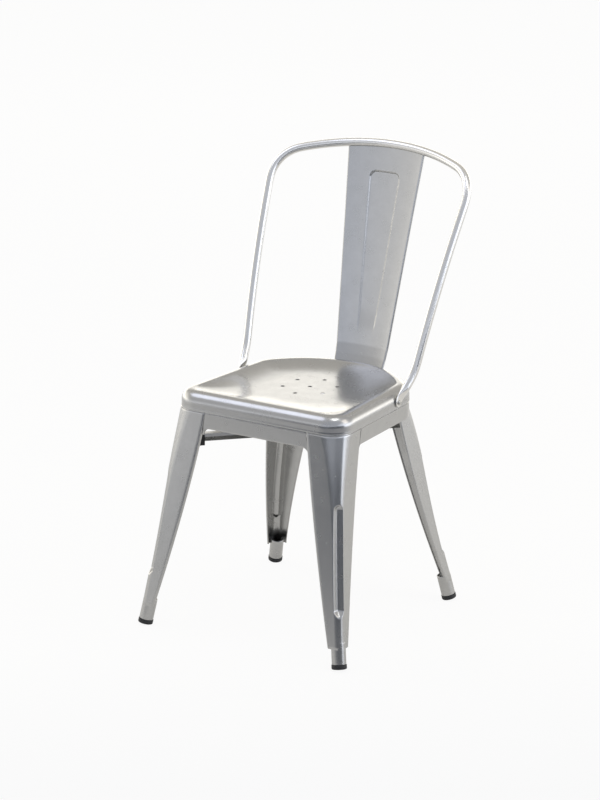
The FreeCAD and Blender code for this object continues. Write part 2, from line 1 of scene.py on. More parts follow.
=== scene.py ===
import bpy
import bmesh
import math
import numpy as np
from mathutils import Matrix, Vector


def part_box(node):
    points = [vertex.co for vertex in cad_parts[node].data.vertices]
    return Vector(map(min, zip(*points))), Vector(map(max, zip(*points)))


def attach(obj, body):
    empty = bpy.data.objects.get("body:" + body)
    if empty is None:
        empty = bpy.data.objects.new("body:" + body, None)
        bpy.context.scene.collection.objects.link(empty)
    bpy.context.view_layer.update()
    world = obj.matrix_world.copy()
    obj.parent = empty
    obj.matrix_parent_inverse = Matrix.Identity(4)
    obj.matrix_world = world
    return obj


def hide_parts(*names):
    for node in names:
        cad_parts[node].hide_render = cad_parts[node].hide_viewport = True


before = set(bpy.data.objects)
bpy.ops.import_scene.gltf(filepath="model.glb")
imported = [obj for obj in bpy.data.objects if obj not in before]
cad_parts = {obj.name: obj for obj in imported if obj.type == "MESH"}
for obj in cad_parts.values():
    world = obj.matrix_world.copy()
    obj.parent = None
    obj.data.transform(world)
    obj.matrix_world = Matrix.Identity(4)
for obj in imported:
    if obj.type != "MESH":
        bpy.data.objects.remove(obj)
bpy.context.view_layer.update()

# Metal bistro chair. Lengths are millimetres in the maker's frame: +Z up, the sitter faces -Y.
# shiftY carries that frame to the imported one, whose origin is under the middle of the chair.
chair = {
    "seatHeight": 450.0, "panDepth": 32.6, "frontHalfWidth": 185.0, "seatFrontY": -160.0,
    "seatDepth": 360.0, "sideTaper": 3.15, "frontCorner": 45.0, "rearArc": 197.5, "rearBlend": 60.0,
    "panSheet": 1.2, "nestGap": 0.3, "apronHeight": 31.0, "legTuck": 12.0, "flush": 0.35, "joggle": 2.3,
}
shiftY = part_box("seat_pan")[0].y * 1000.0 - chair["seatFrontY"]
skirtZ = chair["seatHeight"] - chair["panDepth"]
apronZ = skirtZ - chair["apronHeight"]
rearArcY = chair["seatFrontY"] + chair["seatDepth"] - chair["rearArc"]
taper = math.radians(chair["sideTaper"])
sideNormal = np.array([math.cos(taper), math.sin(taper), 0.0])
sideReach = sideNormal @ np.array([chair["frontHalfWidth"], chair["seatFrontY"], 0.0])


def vec(x, y, z=0.0):
    return np.array([x, y, z], float)


def unit(v):
    return v / np.linalg.norm(v)


def smooth(t):
    t = np.clip(t, 0.0, 1.0)
    return t * t * (3 - 2 * t)


def toPacked(points):  # millimetres in the maker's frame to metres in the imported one
    points = np.asarray(points, float).reshape(-1, 3) + vec(0, shiftY, 0)
    return points / 1000.0


def newPiece(name, verts, faces, packed=False):
    mesh = bpy.data.meshes.new(name)
    verts = verts if packed else toPacked(verts)
    mesh.from_pydata([tuple(v) for v in verts], [], [tuple(int(i) for i in f) for f in faces])
    mesh.validate()
    mesh.shade_smooth()
    piece = bpy.data.objects.new(name, mesh)
    bpy.context.scene.collection.objects.link(piece)
    return piece


def gridFaces(m, n, closed=False, flip=False):  # quads between m rows of n points
    faces = []
    for i in range(m - 1):
        for j in range(n if closed else n - 1):
            k = (j + 1) % n
            q = (i * n + j, i * n + k, (i + 1) * n + k, (i + 1) * n + j)
            faces.append(q[::-1] if flip else q)
    return faces


def settle(piece, sharp=None):  # turns the modifiers' result into a plain mesh
    graph = bpy.context.evaluated_depsgraph_get()
    mesh = bpy.data.meshes.new_from_object(piece.evaluated_get(graph))
    piece.modifiers.clear()
    old = piece.data
    piece.data = mesh
    bpy.data.meshes.remove(old)
    mesh.shade_smooth()
    if sharp:
        mesh.set_sharp_from_angle(angle=math.radians(sharp))
    return piece


def thicken(piece, sheet, bevel=0.0):
    wall = piece.modifiers.new("wall", "SOLIDIFY")
    wall.thickness = sheet / 1000.0
    wall.offset = -1.0
    wall.use_even_offset = True
    if bevel:
        edge = piece.modifiers.new("edge", "BEVEL")
        edge.width = bevel / 1000.0
        edge.segments = 2
        edge.limit_method = "ANGLE"
        edge.angle_limit = math.radians(50)
    return settle(piece, 40)


# Materials

def linear(code):  # sRGB hex to linear
    out = []
    for i in (0, 2, 4):
        c = int(code[i:i + 2], 16) / 255.0
        out.append(c / 12.92 if c <= 0.04045 else ((c + 0.055) / 1.055) ** 2.4)
    return (*out, 1.0)


def addNode(tree, kind, settings=None, **links):
    node = tree.nodes.new(kind)
    for key, value in (settings or {}).items():
        if isinstance(key, str) and hasattr(node, key):
            setattr(node, key, value)
        else:
            node.inputs[key].default_value = value
    for key, source in links.items():
        slot = key.replace("_", " ")
        target = node.inputs[int(slot[1:])] if slot[1:].isdigit() else node.inputs[slot]
        tree.links.new(source, target)
    return node


def newMaterial(name):
    material = bpy.data.materials.new(name)
    material.use_nodes = True
    material.node_tree.nodes.clear()
    return material, material.node_tree


# Satin steel under clear lacquer: fine rolled grain, faint clouds, soft wide highlights
steelLook = {
    "tint": "babab9", "cloud": "b0b0af", "grainMm": 0.6, "cloudMm": 26.0, "rough": 0.26, "spread": 0.02,
    "grainDepth": 0.02, "lacquer": 0.25, "lacquerRough": 0.15,
}


def satinSteel(name, tint=None, cloud=None, rough=None):
    material, tree = newMaterial(name)
    look = steelLook
    space = addNode(tree, "ShaderNodeTexCoord").outputs["Object"]
    clouds = addNode(tree, "ShaderNodeTexNoise", {"Scale": 1000.0 / look["cloudMm"], "Detail": 4.0,
                                                  "Roughness": 0.6}, Vector=space)
    grain = addNode(tree, "ShaderNodeTexNoise", {"Scale": 1000.0 / look["grainMm"], "Detail": 2.0}, Vector=space)
    base = addNode(tree, "ShaderNodeMix", {"data_type": "RGBA", 6: linear(tint or look["tint"]),
                                           7: linear(cloud or look["cloud"])}, i0=clouds.outputs["Fac"])
    level = rough or look["rough"]
    gloss = addNode(tree, "ShaderNodeMapRange", {"From Min": 0.3, "From Max": 0.7,
                                                 "To Min": level - look["spread"], "To Max": level + look["spread"]},
                    Value=clouds.outputs["Fac"])
    bump = addNode(tree, "ShaderNodeBump", {"Strength": look["grainDepth"], "Distance": 0.00003},
                   Height=grain.outputs["Fac"])
    shader = addNode(tree, "ShaderNodeBsdfPrincipled", {"Metallic": 1.0, "Coat Weight": look["lacquer"],
                                                           "Coat Roughness": look["lacquerRough"]},
                     Base_Color=base.outputs[2], Roughness=gloss.outputs["Result"], Normal=bump.outputs["Normal"])
    addNode(tree, "ShaderNodeOutputMaterial", Surface=shader.outputs["BSDF"])
    return material


# Zinc plated screw: brighter and a little yellower than the sheet, worn smooth
def zincScrew():
    material, tree = newMaterial("zincPlatedScrew")
    space = addNode(tree, "ShaderNodeTexCoord").outputs["Object"]
    spots = addNode(tree, "ShaderNodeTexNoise", {"Scale": 900.0, "Detail": 3.0}, Vector=space)
    base = addNode(tree, "ShaderNodeMix", {"data_type": "RGBA", 6: linear("c9c8c2"), 7: linear("a9a8a4")},
                   i0=spots.outputs["Fac"])
    shader = addNode(tree, "ShaderNodeBsdfPrincipled", {"Metallic": 1.0, "Roughness": 0.28},
                     Base_Color=base.outputs[2])
    addNode(tree, "ShaderNodeOutputMaterial", Surface=shader.outputs["BSDF"])
    return material


# Moulded black rubber: almost no highlight, fine stipple, dusty grey in random patches
def mouldedRubber():
    material, tree = newMaterial("mouldedBlackRubber")
    space = addNode(tree, "ShaderNodeTexCoord").outputs["Object"]
    dust = addNode(tree, "ShaderNodeTexNoise", {"Scale": 180.0, "Detail": 5.0}, Vector=space)
    stipple = addNode(tree, "ShaderNodeTexNoise", {"Scale": 2500.0, "Detail": 1.0}, Vector=space)
    base = addNode(tree, "ShaderNodeMix", {"data_type": "RGBA", 6: linear("17181a"), 7: linear("2b2c2e")},
                   i0=dust.outputs["Fac"])
    bump = addNode(tree, "ShaderNodeBump", {"Strength": 0.3, "Distance": 0.0001}, Height=stipple.outputs["Fac"])
    shader = addNode(tree, "ShaderNodeBsdfPrincipled", {"Roughness": 0.62, "IOR": 1.52},
                     Base_Color=base.outputs[2], Normal=bump.outputs["Normal"])
    addNode(tree, "ShaderNodeOutputMaterial", Surface=shader.outputs["BSDF"])
    return material


sheetSteel = satinSteel("lacqueredSatinSteel")
# painted highlight: the tube's tint is set lighter than the sheet steel's, so the tube reads brighter as the light on
# it would make it
tubeSteelPaintedBright = satinSteel("lacqueredSatinTubePaintedBright", "e2e1de", "d8d7d4", 0.25)
screwZinc = zincScrew()
blackRubber = mouldedRubber()
print("materials ready")


def dress(piece, material, slot, *nodes):
    piece.data.materials.clear()
    piece.data.materials.append(material)
    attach(piece, "root")
    if nodes:
        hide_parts(*nodes)
    return piece


# Seat pan

seat = {
    "rim": 21.0, "rimWidth": 24.0, "dishDepth": 11.0, "dishFront": 30.0, "dishBlend": 36.0, "dishRun": 70.0,
    "frontGrowth": 0.35, "blendGrowth": 0.1, "rimDrop": 0.25, "lipEase": 0.21, "lipRun": 1.2,
    "hem": ((0.9, 0.0), (0.3, 0.1), (-0.15, 0.5), (-0.35, 1.2), (-0.3, 2.2), (-0.1, 3.4), (0.0, 4.6)),
    "hole": 8.5, "holeCircle": 51.0, "holeY": 26.3, "holeCount": 6, "segments": (40, 22, 40, 16, 64),
}


def outlineCentres(inset, frontR, blendR):
    frontY = chair["seatFrontY"] + inset + frontR
    reach = sideReach - inset
    front = vec((reach - frontR - sideNormal[1] * frontY) / sideNormal[0], frontY)
    rear = vec(0, rearArcY)
    along = vec(-sideNormal[1], sideNormal[0])
    off = reach - blendR - rear @ sideNormal
    span = chair["rearArc"] - inset - blendR
    return front, rear + sideNormal * off + along * math.sqrt(span * span - off * off), rear


def arcPoints(c, r, a0, a1, n):
    a = np.linspace(a0, a1, n)
    return np.stack([c[0] + r * np.cos(a), c[1] + r * np.sin(a), np.zeros(n)], 1)


def linePoints(a, b, n):
    return a + (b - a) * np.linspace(0, 1, n)[:, None]


def seatOutline(inset, z, frontR=None, blendR=None):  # right half from the front middle, then mirrored
    frontR = chair["frontCorner"] - inset if frontR is None else frontR
    blendR = chair["rearBlend"] - inset if blendR is None else blendR
    front, blend, rear = outlineCentres(inset, frontR, blendR)
    turn = math.atan2(blend[1] - rear[1], blend[0])
    n = seat["segments"]
    y0 = chair["seatFrontY"] + inset
    parts = [linePoints(vec(0, y0), vec(front[0], y0), n[0])[:-1]]
    parts.append(arcPoints(front, frontR, -math.pi / 2, taper, n[1])[:-1])
    parts.append(linePoints(front + sideNormal * frontR, blend + sideNormal * blendR, n[2])[:-1])
    parts.append(arcPoints(blend, blendR, taper, turn, n[3])[:-1])
    parts.append(arcPoints(rear, chair["rearArc"] - inset, turn, math.pi / 2, n[4]))
    half = np.concatenate(parts)
    other = half[1:-1][::-1] * np.array([-1.0, 1.0, 1.0])
    loop = np.concatenate([half, other])
    loop[:, 2] = z
    return loop


def makeSeat():
    rim = seat["rim"]
    top = chair["seatHeight"]
    rows = [seatOutline(inset, skirtZ + rise) for inset, rise in seat["hem"]]
    for z in np.linspace(skirtZ + 6, top - rim - 0.6, 3):
        rows.append(seatOutline(0.0, z))
    for a in np.linspace(0, math.pi / 2, 18):
        rows.append(seatOutline(rim * (1 - math.cos(a)), top - rim + rim * math.sin(a)))
    rows.append(seatOutline(rim + 1.4, top))
    rows.append(seatOutline(rim + 2.3, top - 0.06))
    runs = np.concatenate([np.linspace(0, 12, 12), np.linspace(13.5, seat["dishRun"], 26)])
    for run in runs:
        x = run / seat["dishRun"]
        share = 1 - (1 - x) ** (3.0 - 0.7 * x)
        z = top - seat["dishDepth"] * share - seat["rimDrop"] + seat["lipEase"] * math.exp(-run / seat["lipRun"])
        rows.append(seatOutline(seat["rimWidth"] + run, z, seat["dishFront"] + run * seat["frontGrowth"],
                                seat["dishBlend"] + run * seat["blendGrowth"]))
    last = rows[-1]
    middle = vec(0, last[:, 1].mean(), last[0, 2])
    for k in np.linspace(0.93, 0.02, 22):
        rows.append(middle + (last - middle) * k)
    rows = np.array(rows)
    m, n = rows.shape[:2]
    faces = gridFaces(m, n, closed=True)
    faces.append(tuple(range((m - 1) * n, m * n)))
    piece = newPiece("seatPressing", rows.reshape(-1, 3), faces)
    wall = piece.modifiers.new("wall", "SOLIDIFY")
    wall.thickness = chair["panSheet"] / 1000.0
    wall.offset = -1.0
    cutter = drainCutters()
    cut = piece.modifiers.new("drains", "BOOLEAN")
    cut.object = cutter
    cut.solver = "EXACT"
    settle(piece, 40)
    bpy.data.objects.remove(cutter)
    return piece


def drainCutters():  # Geometry Nodes: one pin at the middle and a ring of pins, used once as a cutter
    tree = bpy.data.node_groups.new("drainPins", "GeometryNodeTree")
    face = tree.interface
    face.new_socket("Geometry", in_out="OUTPUT", socket_type="NodeSocketGeometry")
    sizes = {}
    for label, kind in (("Circle Radius", "NodeSocketFloat"), ("Hole Radius", "NodeSocketFloat"),
                        ("Count", "NodeSocketInt"), ("Centre", "NodeSocketVector")):
        sizes[label] = face.new_socket(label, in_out="INPUT", socket_type=kind).identifier
    given = addNode(tree, "NodeGroupInput")
    ring = addNode(tree, "GeometryNodeMeshCircle", {"fill_type": "NONE"}, Vertices=given.outputs["Count"],
                   Radius=given.outputs["Circle Radius"])
    spot = addNode(tree, "GeometryNodeMeshLine", {"Count": 1})
    places = addNode(tree, "GeometryNodeJoinGeometry")
    tree.links.new(ring.outputs[0], places.inputs[0])
    tree.links.new(spot.outputs[0], places.inputs[0])
    pin = addNode(tree, "GeometryNodeMeshCylinder", {"Vertices": 40, "Depth": 0.03},
                  Radius=given.outputs["Hole Radius"])
    pins = addNode(tree, "GeometryNodeInstanceOnPoints", Points=places.outputs[0], Instance=pin.outputs[0])
    moved = addNode(tree, "GeometryNodeTransform", {"Rotation": (0.0, 0.0, math.pi / 2)},
                    Geometry=pins.outputs[0], Translation=given.outputs["Centre"])
    real = addNode(tree, "GeometryNodeRealizeInstances", Geometry=moved.outputs[0])
    made = addNode(tree, "GeometryNodeSetMaterial", {"Material": sheetSteel}, Geometry=real.outputs[0])
    addNode(tree, "NodeGroupOutput", Geometry=made.outputs[0])
    carrier = newPiece("drainPins", [vec(0, 0, 0)], [])
    nodes = carrier.modifiers.new("pins", "NODES")
    nodes.node_group = tree
    nodes[sizes["Circle Radius"]] = seat["holeCircle"] / 1000.0
    nodes[sizes["Hole Radius"]] = seat["hole"] / 2000.0
    nodes[sizes["Count"]] = seat["holeCount"]
    nodes[sizes["Centre"]] = tuple(toPacked(vec(0, seat["holeY"], chair["seatHeight"] - seat["dishDepth"]))[0])
    return settle(carrier)


# Legs

leg = {
    "sheet": 1.5, "topWidthFront": 75.0, "topWidthRear": 76.0, "footWidth": 29.0,
    "frontNarrow": 0.96, "rearNarrow": 1.13, "frontRounding": 3.9, "rearRounding": 5.0,
    "frontCurve": (1.43, 1.11), "rearCurve": (1.10, 2.18), "frontKick": (0.16, -0.17), "rearKick": (0.20, 0.15),
    "flangeFront": 7.0, "flangeRear": 4.0, "bend": 2.6, "rearTurn": 54.5, "rearTopRadius": 70.0,
    "footHalfFront": 214.8, "footHalfRear": 200.3, "footHalfDepth": 211.4, "endZ": 40.0,
    "socket": 13.25, "socketSkin": 0.35, "overlap": 8.0, "cap": 14.0, "capHeight": 8.5, "restFlat": 0.6,
    "grooveTop": 299.0, "grooveFoot": 88.0, "grooveRound": 14.0, "groovePoint": 18.0,
    "grooveSide": 14.0, "grooveDepth": 0.8, "grooveBottom": 0.22, "grooveEdge": 1.8, "grooveMargin": 3.4,
}
tuckInset = chair["panSheet"] + chair["nestGap"]


def legPlan(front):
    out = vec(1, -1 if front else 1)
    kick = vec(*(leg["frontKick"] if front else leg["rearKick"]))
    if front:
        foot = vec(leg["footHalfFront"], -leg["footHalfDepth"])
        topR = chair["frontCorner"] - chair["flush"]
        y = chair["seatFrontY"] + chair["flush"]
        top = vec((sideReach - chair["flush"] - sideNormal[1] * y) / sideNormal[0], y)
    else:
        foot = vec(leg["footHalfRear"], leg["footHalfDepth"])
        topR = leg["rearTopRadius"]
        turn = math.radians(leg["rearTurn"])
        span = chair["rearArc"] - chair["flush"] - topR
        top = vec(0, rearArcY) + vec(math.cos(turn), math.sin(turn)) * span + out * topR
    knee = foot - kick * leg["endZ"] + out * (leg["socket"] + leg["socketSkin"])
    return foot, kick, topR, top, knee


def legStation(front, z):
    foot, kick, topR, top, knee = legPlan(front)
    curve = leg["frontCurve"] if front else leg["rearCurve"]
    t = min(max((skirtZ - z) / (skirtZ - leg["endZ"]), 0.0), 1.0)
    corner = vec(top[0] + (knee[0] - top[0]) * t ** curve[0], top[1] + (knee[1] - top[1]) * t ** curve[1], z)
    footR = leg["socket"] + leg["socketSkin"]
    r = footR + (topR - footR) * (1 - t) ** (leg["frontRounding"] if front else leg["rearRounding"])
    topW = leg["topWidthFront"] if front else leg["topWidthRear"]
    narrow = leg["frontNarrow"] if front else leg["rearNarrow"]
    w = leg["footWidth"] + (topW - leg["footWidth"]) * (1 - t) ** narrow
    uA = vec(-1, 0)
    uB = vec(-math.sin(taper), math.cos(taper)) if front else vec(0, -1)
    return corner, uA, uB, w, r


def rounded(points, radii, n):  # polyline with its inner corners rounded, each by n points
    out = [points[0]]
    last = len(radii) - 1
    for i, (p, q, s, r) in enumerate(zip(points, points[1:], points[2:], radii)):
        u = unit(p - q)
        v = unit(s - q)
        half = math.acos(np.clip(u @ v, -1, 1)) / 2
        before = np.linalg.norm(p - q) * (0.99 if i == 0 else 0.49)
        after = np.linalg.norm(s - q) * (0.99 if i == last else 0.49)
        reach = min(r / math.tan(half), before, after)
        r = reach * math.tan(half)
        c = q + unit(u + v) * (r / math.sin(half))
        a = q + u * reach - c
        b = q + v * reach - c
        sweep = math.pi - 2 * half
        for k in range(n):
            f = k / (n - 1)
            out.append(c + (a * math.sin((1 - f) * sweep) + b * math.sin(f * sweep)) / math.sin(sweep))
    out.append(points[-1])
    return np.array(out)


def grooveReach(z):  # side of the pushed-in corner: round at its top, pointed at its foot
    top = leg["grooveTop"]
    foot = leg["grooveFoot"]
    if z >= top or z <= foot:
        return 0.0
    a = min((top - z) / leg["grooveRound"], 1.0)
    return leg["grooveSide"] * min(math.sqrt(1 - (1 - a) ** 2), (z - foot) / leg["groovePoint"])


def softMin(a, b, k):
    h = np.clip(0.5 + 0.5 * (b - a) / k, 0, 1)
    return b * (1 - h) + a * h - k * h * (1 - h)


def cornerProfile(r, g, count):  # rounded corner, or the same pushed in, as distances along the two webs
    far = max(r, leg["grooveSide"]) + leg["grooveMargin"]
    turn = np.linspace(0, math.pi / 2, count)
    c = np.maximum(np.cos(turn), 1e-6)
    s = np.maximum(np.sin(turn), 1e-6)
    flat = np.minimum(far / c, far / s)
    off = far - r
    dot = off * (c + s)
    arc = dot + np.sqrt(np.maximum(dot * dot - 2 * off * off + r * r, 0))
    inArc = (far - flat * c < r) & (far - flat * s < r)
    ray = np.where(inArc, np.minimum(flat, arc), flat)
    if g > 0:  # valley along the corner, its bottom rounded
        tip = g * leg["grooveDepth"]
        soft = np.sqrt((c - s) ** 2 + leg["grooveBottom"] ** 2)
        low = (c + s - soft) / 2
        slope = low * tip - (low + soft) * (tip - g)
        wall = np.where(slope > 0.02, g * (far - tip) / np.maximum(slope, 0.02), 1000.0)
        ray = softMin(ray, wall, leg["grooveEdge"])
    return far - ray * c, far - ray * s


def legSection(front, z):
    corner, uA, uB, w, r = legStation(front, z)
    if z > skirtZ - chair["joggle"]:  # steps in to pass under the skirt
        corner = corner + (uA + uB) * (tuckInset - chair["flush"])
    cosine = uA @ uB
    nA = unit(uB - uA * cosine)
    nB = unit(uA - uB * cosine)
    bend = leg["bend"]
    lip = leg["flangeFront"] if front else leg["flangeRear"]
    b, a = cornerProfile(r, grooveReach(z), 69)
    core = corner + a[:, None] * uA + b[:, None] * uB
    endA = corner + uA * w
    endB = corner + uB * w
    sideA = rounded([endA + nA * lip, endA, core[0]], [bend], 6)
    sideB = rounded([core[-1], endB, endB + nB * lip], [bend], 6)
    webA = linePoints(sideA[-2], sideA[-1], 8)
    webB = linePoints(sideB[0], sideB[1], 8)
    return np.concatenate([sideA[:-2], webA[:-1], core, webB[1:], sideB[2:]])


def makeLeg(name, front, right):
    low = skirtZ - chair["joggle"]
    top, foot, point = leg["grooveTop"], leg["grooveFoot"], leg["groovePoint"]
    zs = [skirtZ + chair["legTuck"], skirtZ + 1, low + 0.6] + list(np.linspace(low, top + 3, 34))
    zs += list(np.linspace(top, top - leg["grooveRound"], 18))
    zs += list(np.linspace(top - 20, foot + point + 3, 26))
    zs += list(np.linspace(foot + point, foot, 18))
    zs += list(np.linspace(foot - 4, leg["endZ"], 9))
    rows = np.array([legSection(front, z) for z in zs])
    m, n = rows.shape[:2]
    if not right:
        rows[..., 0] *= -1
    piece = newPiece(name, rows.reshape(-1, 3), gridFaces(m, n, flip=(front == right)))
    thicken(piece, leg["sheet"], 0.35)
    socket = footSocket(name + "Socket", front, right)
    return joined(piece, socket)


def joined(a, b):
    mesh = bmesh.new()
    mesh.from_mesh(a.data)
    mesh.from_mesh(b.data)
    mesh.to_mesh(a.data)
    mesh.free()
    a.data.set_sharp_from_angle(angle=math.radians(40))
    bpy.data.objects.remove(b)
    return a


def footAxis(front, right):
    foot, kick, topR, top, knee = legPlan(front)
    axis = unit(vec(-kick[0], -kick[1], 1.0))
    tilt = math.atan(math.hypot(kick[0], kick[1]))
    centre = foot + axis * (leg["cap"] * math.tan(tilt) - leg["restFlat"])
    side = np.array([1.0 if right else -1.0, 1.0, 1.0])
    return centre * side, axis * side


def footSocket(name, front, right):
    centre, axis = footAxis(front, right)
    rise = leg["endZ"] / axis[2] + leg["overlap"]
    u = unit(np.cross(axis, vec(0, 1, 0)))
    v = np.cross(axis, u)
    r = leg["socket"]
    t = leg["sheet"]
    low = leg["capHeight"]
    profile = [(r - t, low + 0.5), (r - t + 0.4, low + 0.1), (r - 0.5, low + 0.05), (r, low + 0.6), (r, low + 4)]
    profile += [(r, h) for h in np.linspace(low + 8, rise - 2, 8)]
    profile += [(r, rise - 0.6), (r - 0.5, rise), (r - t + 0.4, rise), (r - t, rise - 0.5), (r - t, low + 6)]
    rows = []
    for radius, h in profile:
        a = np.linspace(0, 2 * math.pi, 49)[:-1]
        rows.append(centre + axis * h + radius * (np.cos(a)[:, None] * u + np.sin(a)[:, None] * v))
    rows = np.array(rows)
    m, n = rows.shape[:2]
    faces = gridFaces(m, n, closed=True)
    faces += [(n * (m - 1) + j, n * (m - 1) + (j + 1) % n, (j + 1) % n, j) for j in range(n)]
    piece = newPiece(name, rows.reshape(-1, 3), faces)
    outward(piece)
    return piece


def outward(piece):  # for closed shells
    mesh = bmesh.new()
    mesh.from_mesh(piece.data)
    bmesh.ops.recalc_face_normals(mesh, faces=mesh.faces)
    mesh.to_mesh(piece.data)
    mesh.free()


# Back hoop

hoop = {
    "radius": 8.0, "bend": (185.6, 92.4, 478.0), "knee": (200.2, 144.5, 627.4), "corner": (219.3, 242.0, 822.0),
    "top": (0.0, 341.0, 867.5), "crownReach": 176.0, "cornerRadius": 70.0, "kneeRadius": 2000.0, "footRadius": 60.0,
    "tabY": 53.0, "tabZ": 429.0, "tabWidth": 21.0, "tabThick": 3.4, "tabLength": 13.0, "tabTaper": 26.0, "gap": 0.15,
    "step": 4.0, "around": 40, "endRun": 45.0, "endPoints": 40, "evenPasses": 12, "tabSquare": 0.45,
}


def cornerArc(a, p, b, r, n):
    u = unit(a - p)
    v = unit(b - p)
    half = math.acos(np.clip(u @ v, -1, 1)) / 2
    reach = r / math.tan(half)
    c = p + unit(u + v) * (r / math.sin(half))
    sa = p + u * reach - c
    sb = p + v * reach - c
    sweep = math.pi - 2 * half
    f = np.linspace(0, 1, n)[:, None]
    return c + (sa * np.sin((1 - f) * sweep) + sb * np.sin(f * sweep)) / math.sin(sweep)


def hoopScrew():
    n = sideNormal
    return vec((sideReach - n[1] * hoop["tabY"]) / n[0], hoop["tabY"], hoop["tabZ"]), n


def hoopPath():
    spot, n = hoopScrew()
    bend, knee, corner, top = [np.array(hoop[k]) for k in ("bend", "knee", "corner", "top")]
    seatPoint = spot + n * (hoop["tabThick"] / 2 + hoop["gap"])
    rise = bend - seatPoint
    slope = unit(rise - n * (rise @ n))
    tabTop = seatPoint + slope * (hoop["tabLength"] / 2)
    tip = seatPoint - slope * (hoop["tabWidth"] / 2 - hoop["tabThick"] / 2)
    foot = cornerArc(tabTop, bend, knee, hoop["footRadius"], 8)
    mid = cornerArc(bend, knee, corner, hoop["kneeRadius"], 40)
    turn = cornerArc(knee, corner, top, hoop["cornerRadius"], 26)
    crown = cornerArc(corner, top, corner * vec(-1, 1, 1), hoop["crownReach"] * crownTan(corner, top), 80)
    half = np.concatenate([foot, mid, turn, crown[:40]])
    return tip, slope, n, tabTop, seatPoint, half


def crownTan(corner, top):
    u = unit(corner - top)
    return math.tan(math.acos(u @ (u * vec(-1, 1, 1))) / 2)


def makeHoop():
    tip, slope, n, tabTop, seatPoint, half = hoopPath()
    lower = np.concatenate([linePoints(tip, tabTop, 14), linePoints(tabTop, half[0], 16)[1:-1]])
    right = np.concatenate([lower, half])
    path = np.concatenate([right, (right * vec(-1, 1, 1))[::-1]])
    steps = np.concatenate([[0], np.cumsum(np.linalg.norm(np.diff(path, axis=0), axis=1))])
    total = steps[-1]
    run, points = hoop["endRun"], hoop["endPoints"]
    fine = np.concatenate([np.linspace(0, run, points)[:-1],
                           np.linspace(run, total - run, int(total / hoop["step"]) | 1),
                           np.linspace(total - run, total, points)[1:]])
    path = np.stack([np.interp(fine, steps, path[:, k]) for k in range(3)], 1)
    for turn in range(hoop["evenPasses"]):  # even curve, so the highlight runs clean along the tube
        path[1:-1] = (path[:-2] + path[1:-1] * 2 + path[2:]) / 4
    tangent = np.gradient(path, axis=0)
    tangent /= np.linalg.norm(tangent, axis=1)[:, None]
    out = [n - tangent[0] * (n @ tangent[0])]
    for t in tangent[1:]:
        o = out[-1] - t * (out[-1] @ t)
        out.append(o)
    out = [unit(o) for o in out]
    flip = n * vec(-1, 1, 1)
    last = unit(flip - tangent[-1] * (flip @ tangent[-1]))
    twist = math.atan2(np.cross(out[-1], last) @ tangent[-1], out[-1] @ last)
    rows = []
    a = np.linspace(0, 2 * math.pi, hoop["around"] + 1)[:-1]
    for i, (p, t, o, s) in enumerate(zip(path, tangent, out, fine)):
        angle = twist * s / total
        across = np.cross(t, o)
        o2 = o * math.cos(angle) + across * math.sin(angle)
        across = np.cross(t, o2)
        end = min(s, total - s)
        flatLength = hoop["tabLength"] / 2 + hoop["tabWidth"] / 2
        f = smooth((end - flatLength) / hoop["tabTaper"])
        wide = hoop["tabWidth"] / 2 * (1 - f) + hoop["radius"] * f
        thick = hoop["tabThick"] / 2 * (1 - f) + hoop["radius"] * f
        if end < hoop["tabWidth"] / 2:
            x = 1 - end / (hoop["tabWidth"] / 2)
            wide = max(hoop["tabWidth"] / 2 * math.sqrt(max(1 - x * x, 0.0)), 0.3)
        power = 1.0 - hoop["tabSquare"] * (1 - f)
        cs = np.sign(np.cos(a)) * np.abs(np.cos(a)) ** power
        sn = np.sign(np.sin(a)) * np.abs(np.sin(a)) ** power
        rows.append(p + wide * cs[:, None] * across + thick * sn[:, None] * o2)
    rows = np.array(rows)
    m, k = rows.shape[:2]
    faces = gridFaces(m, k, closed=True) + [tuple(range(k))[::-1], tuple(range((m - 1) * k, m * k))]
    piece = newPiece("hoopTube", rows.reshape(-1, 3), faces)
    outward(piece)
    piece.data.set_sharp_from_angle(angle=math.radians(50))
    return piece


# Back splat

splat = {
    "sheet": 1.2, "topHalf": 83.0, "footHalf": 54.3, "topZ": 846.0, "topY": 294.0, "bendZ": 475.0, "footZ": 404.0,
    "topArc": 372.0, "roll": 2.6, "panelTopHalf": 32.5, "panelFootHalf": 17.0, "panelTopZ": 797.0,
    "panelFootZ": 492.0, "panelDepth": 3.0, "panelFade": 60.0, "panelCorner": 12.0, "wall": 3.4,
    "spreadBelow": 33.0, "fitFromZ": 700.0, "crownHold": 0.93,
}
splatFootArc = chair["rearArc"] + chair["nestGap"]
splatFootY = rearArcY + math.sqrt(splatFootArc ** 2 - (splat["footHalf"] - splat["roll"]) ** 2)


def splatShape(z):
    bendZ = splat["bendZ"]
    rows = [(splat["footZ"], 0), (bendZ - 45, 0), (bendZ - 37, 1.5), (bendZ - 20, 9.0), (bendZ, 16.0),
            (splat["topZ"], splat["topY"] - splatFootY)]
    y = splatFootY + np.interp(z, [r[0] for r in rows], [r[1] for r in rows])
    share = max(z - bendZ + splat["spreadBelow"], 0.0) / (splat["topZ"] - bendZ + splat["spreadBelow"])
    h = splat["footHalf"] + (splat["topHalf"] - splat["footHalf"]) * share
    return y, h - splat["roll"], splatFootArc + (splat["topArc"] - splatFootArc) * share


def panelDrop(x, z):  # depth of the pressed panel, measured from its rounded outline
    a, b = splat["panelTopHalf"], splat["panelFootHalf"]
    top, foot, r = splat["panelTopZ"], splat["panelFootZ"], splat["panelCorner"]
    share = np.clip((z - foot) / (top - foot), -0.1, 1.0)
    edge = b + (a - b) * share
    dx = edge - np.abs(x)
    dz = top - z
    inner = np.where((dx < r) & (dz < r), r - np.hypot(r - dx, r - dz), np.minimum(dx, dz))
    depth = splat["panelDepth"] * smooth((z - foot) / splat["panelFade"])
    return depth * smooth(inner / splat["wall"] + 0.5)


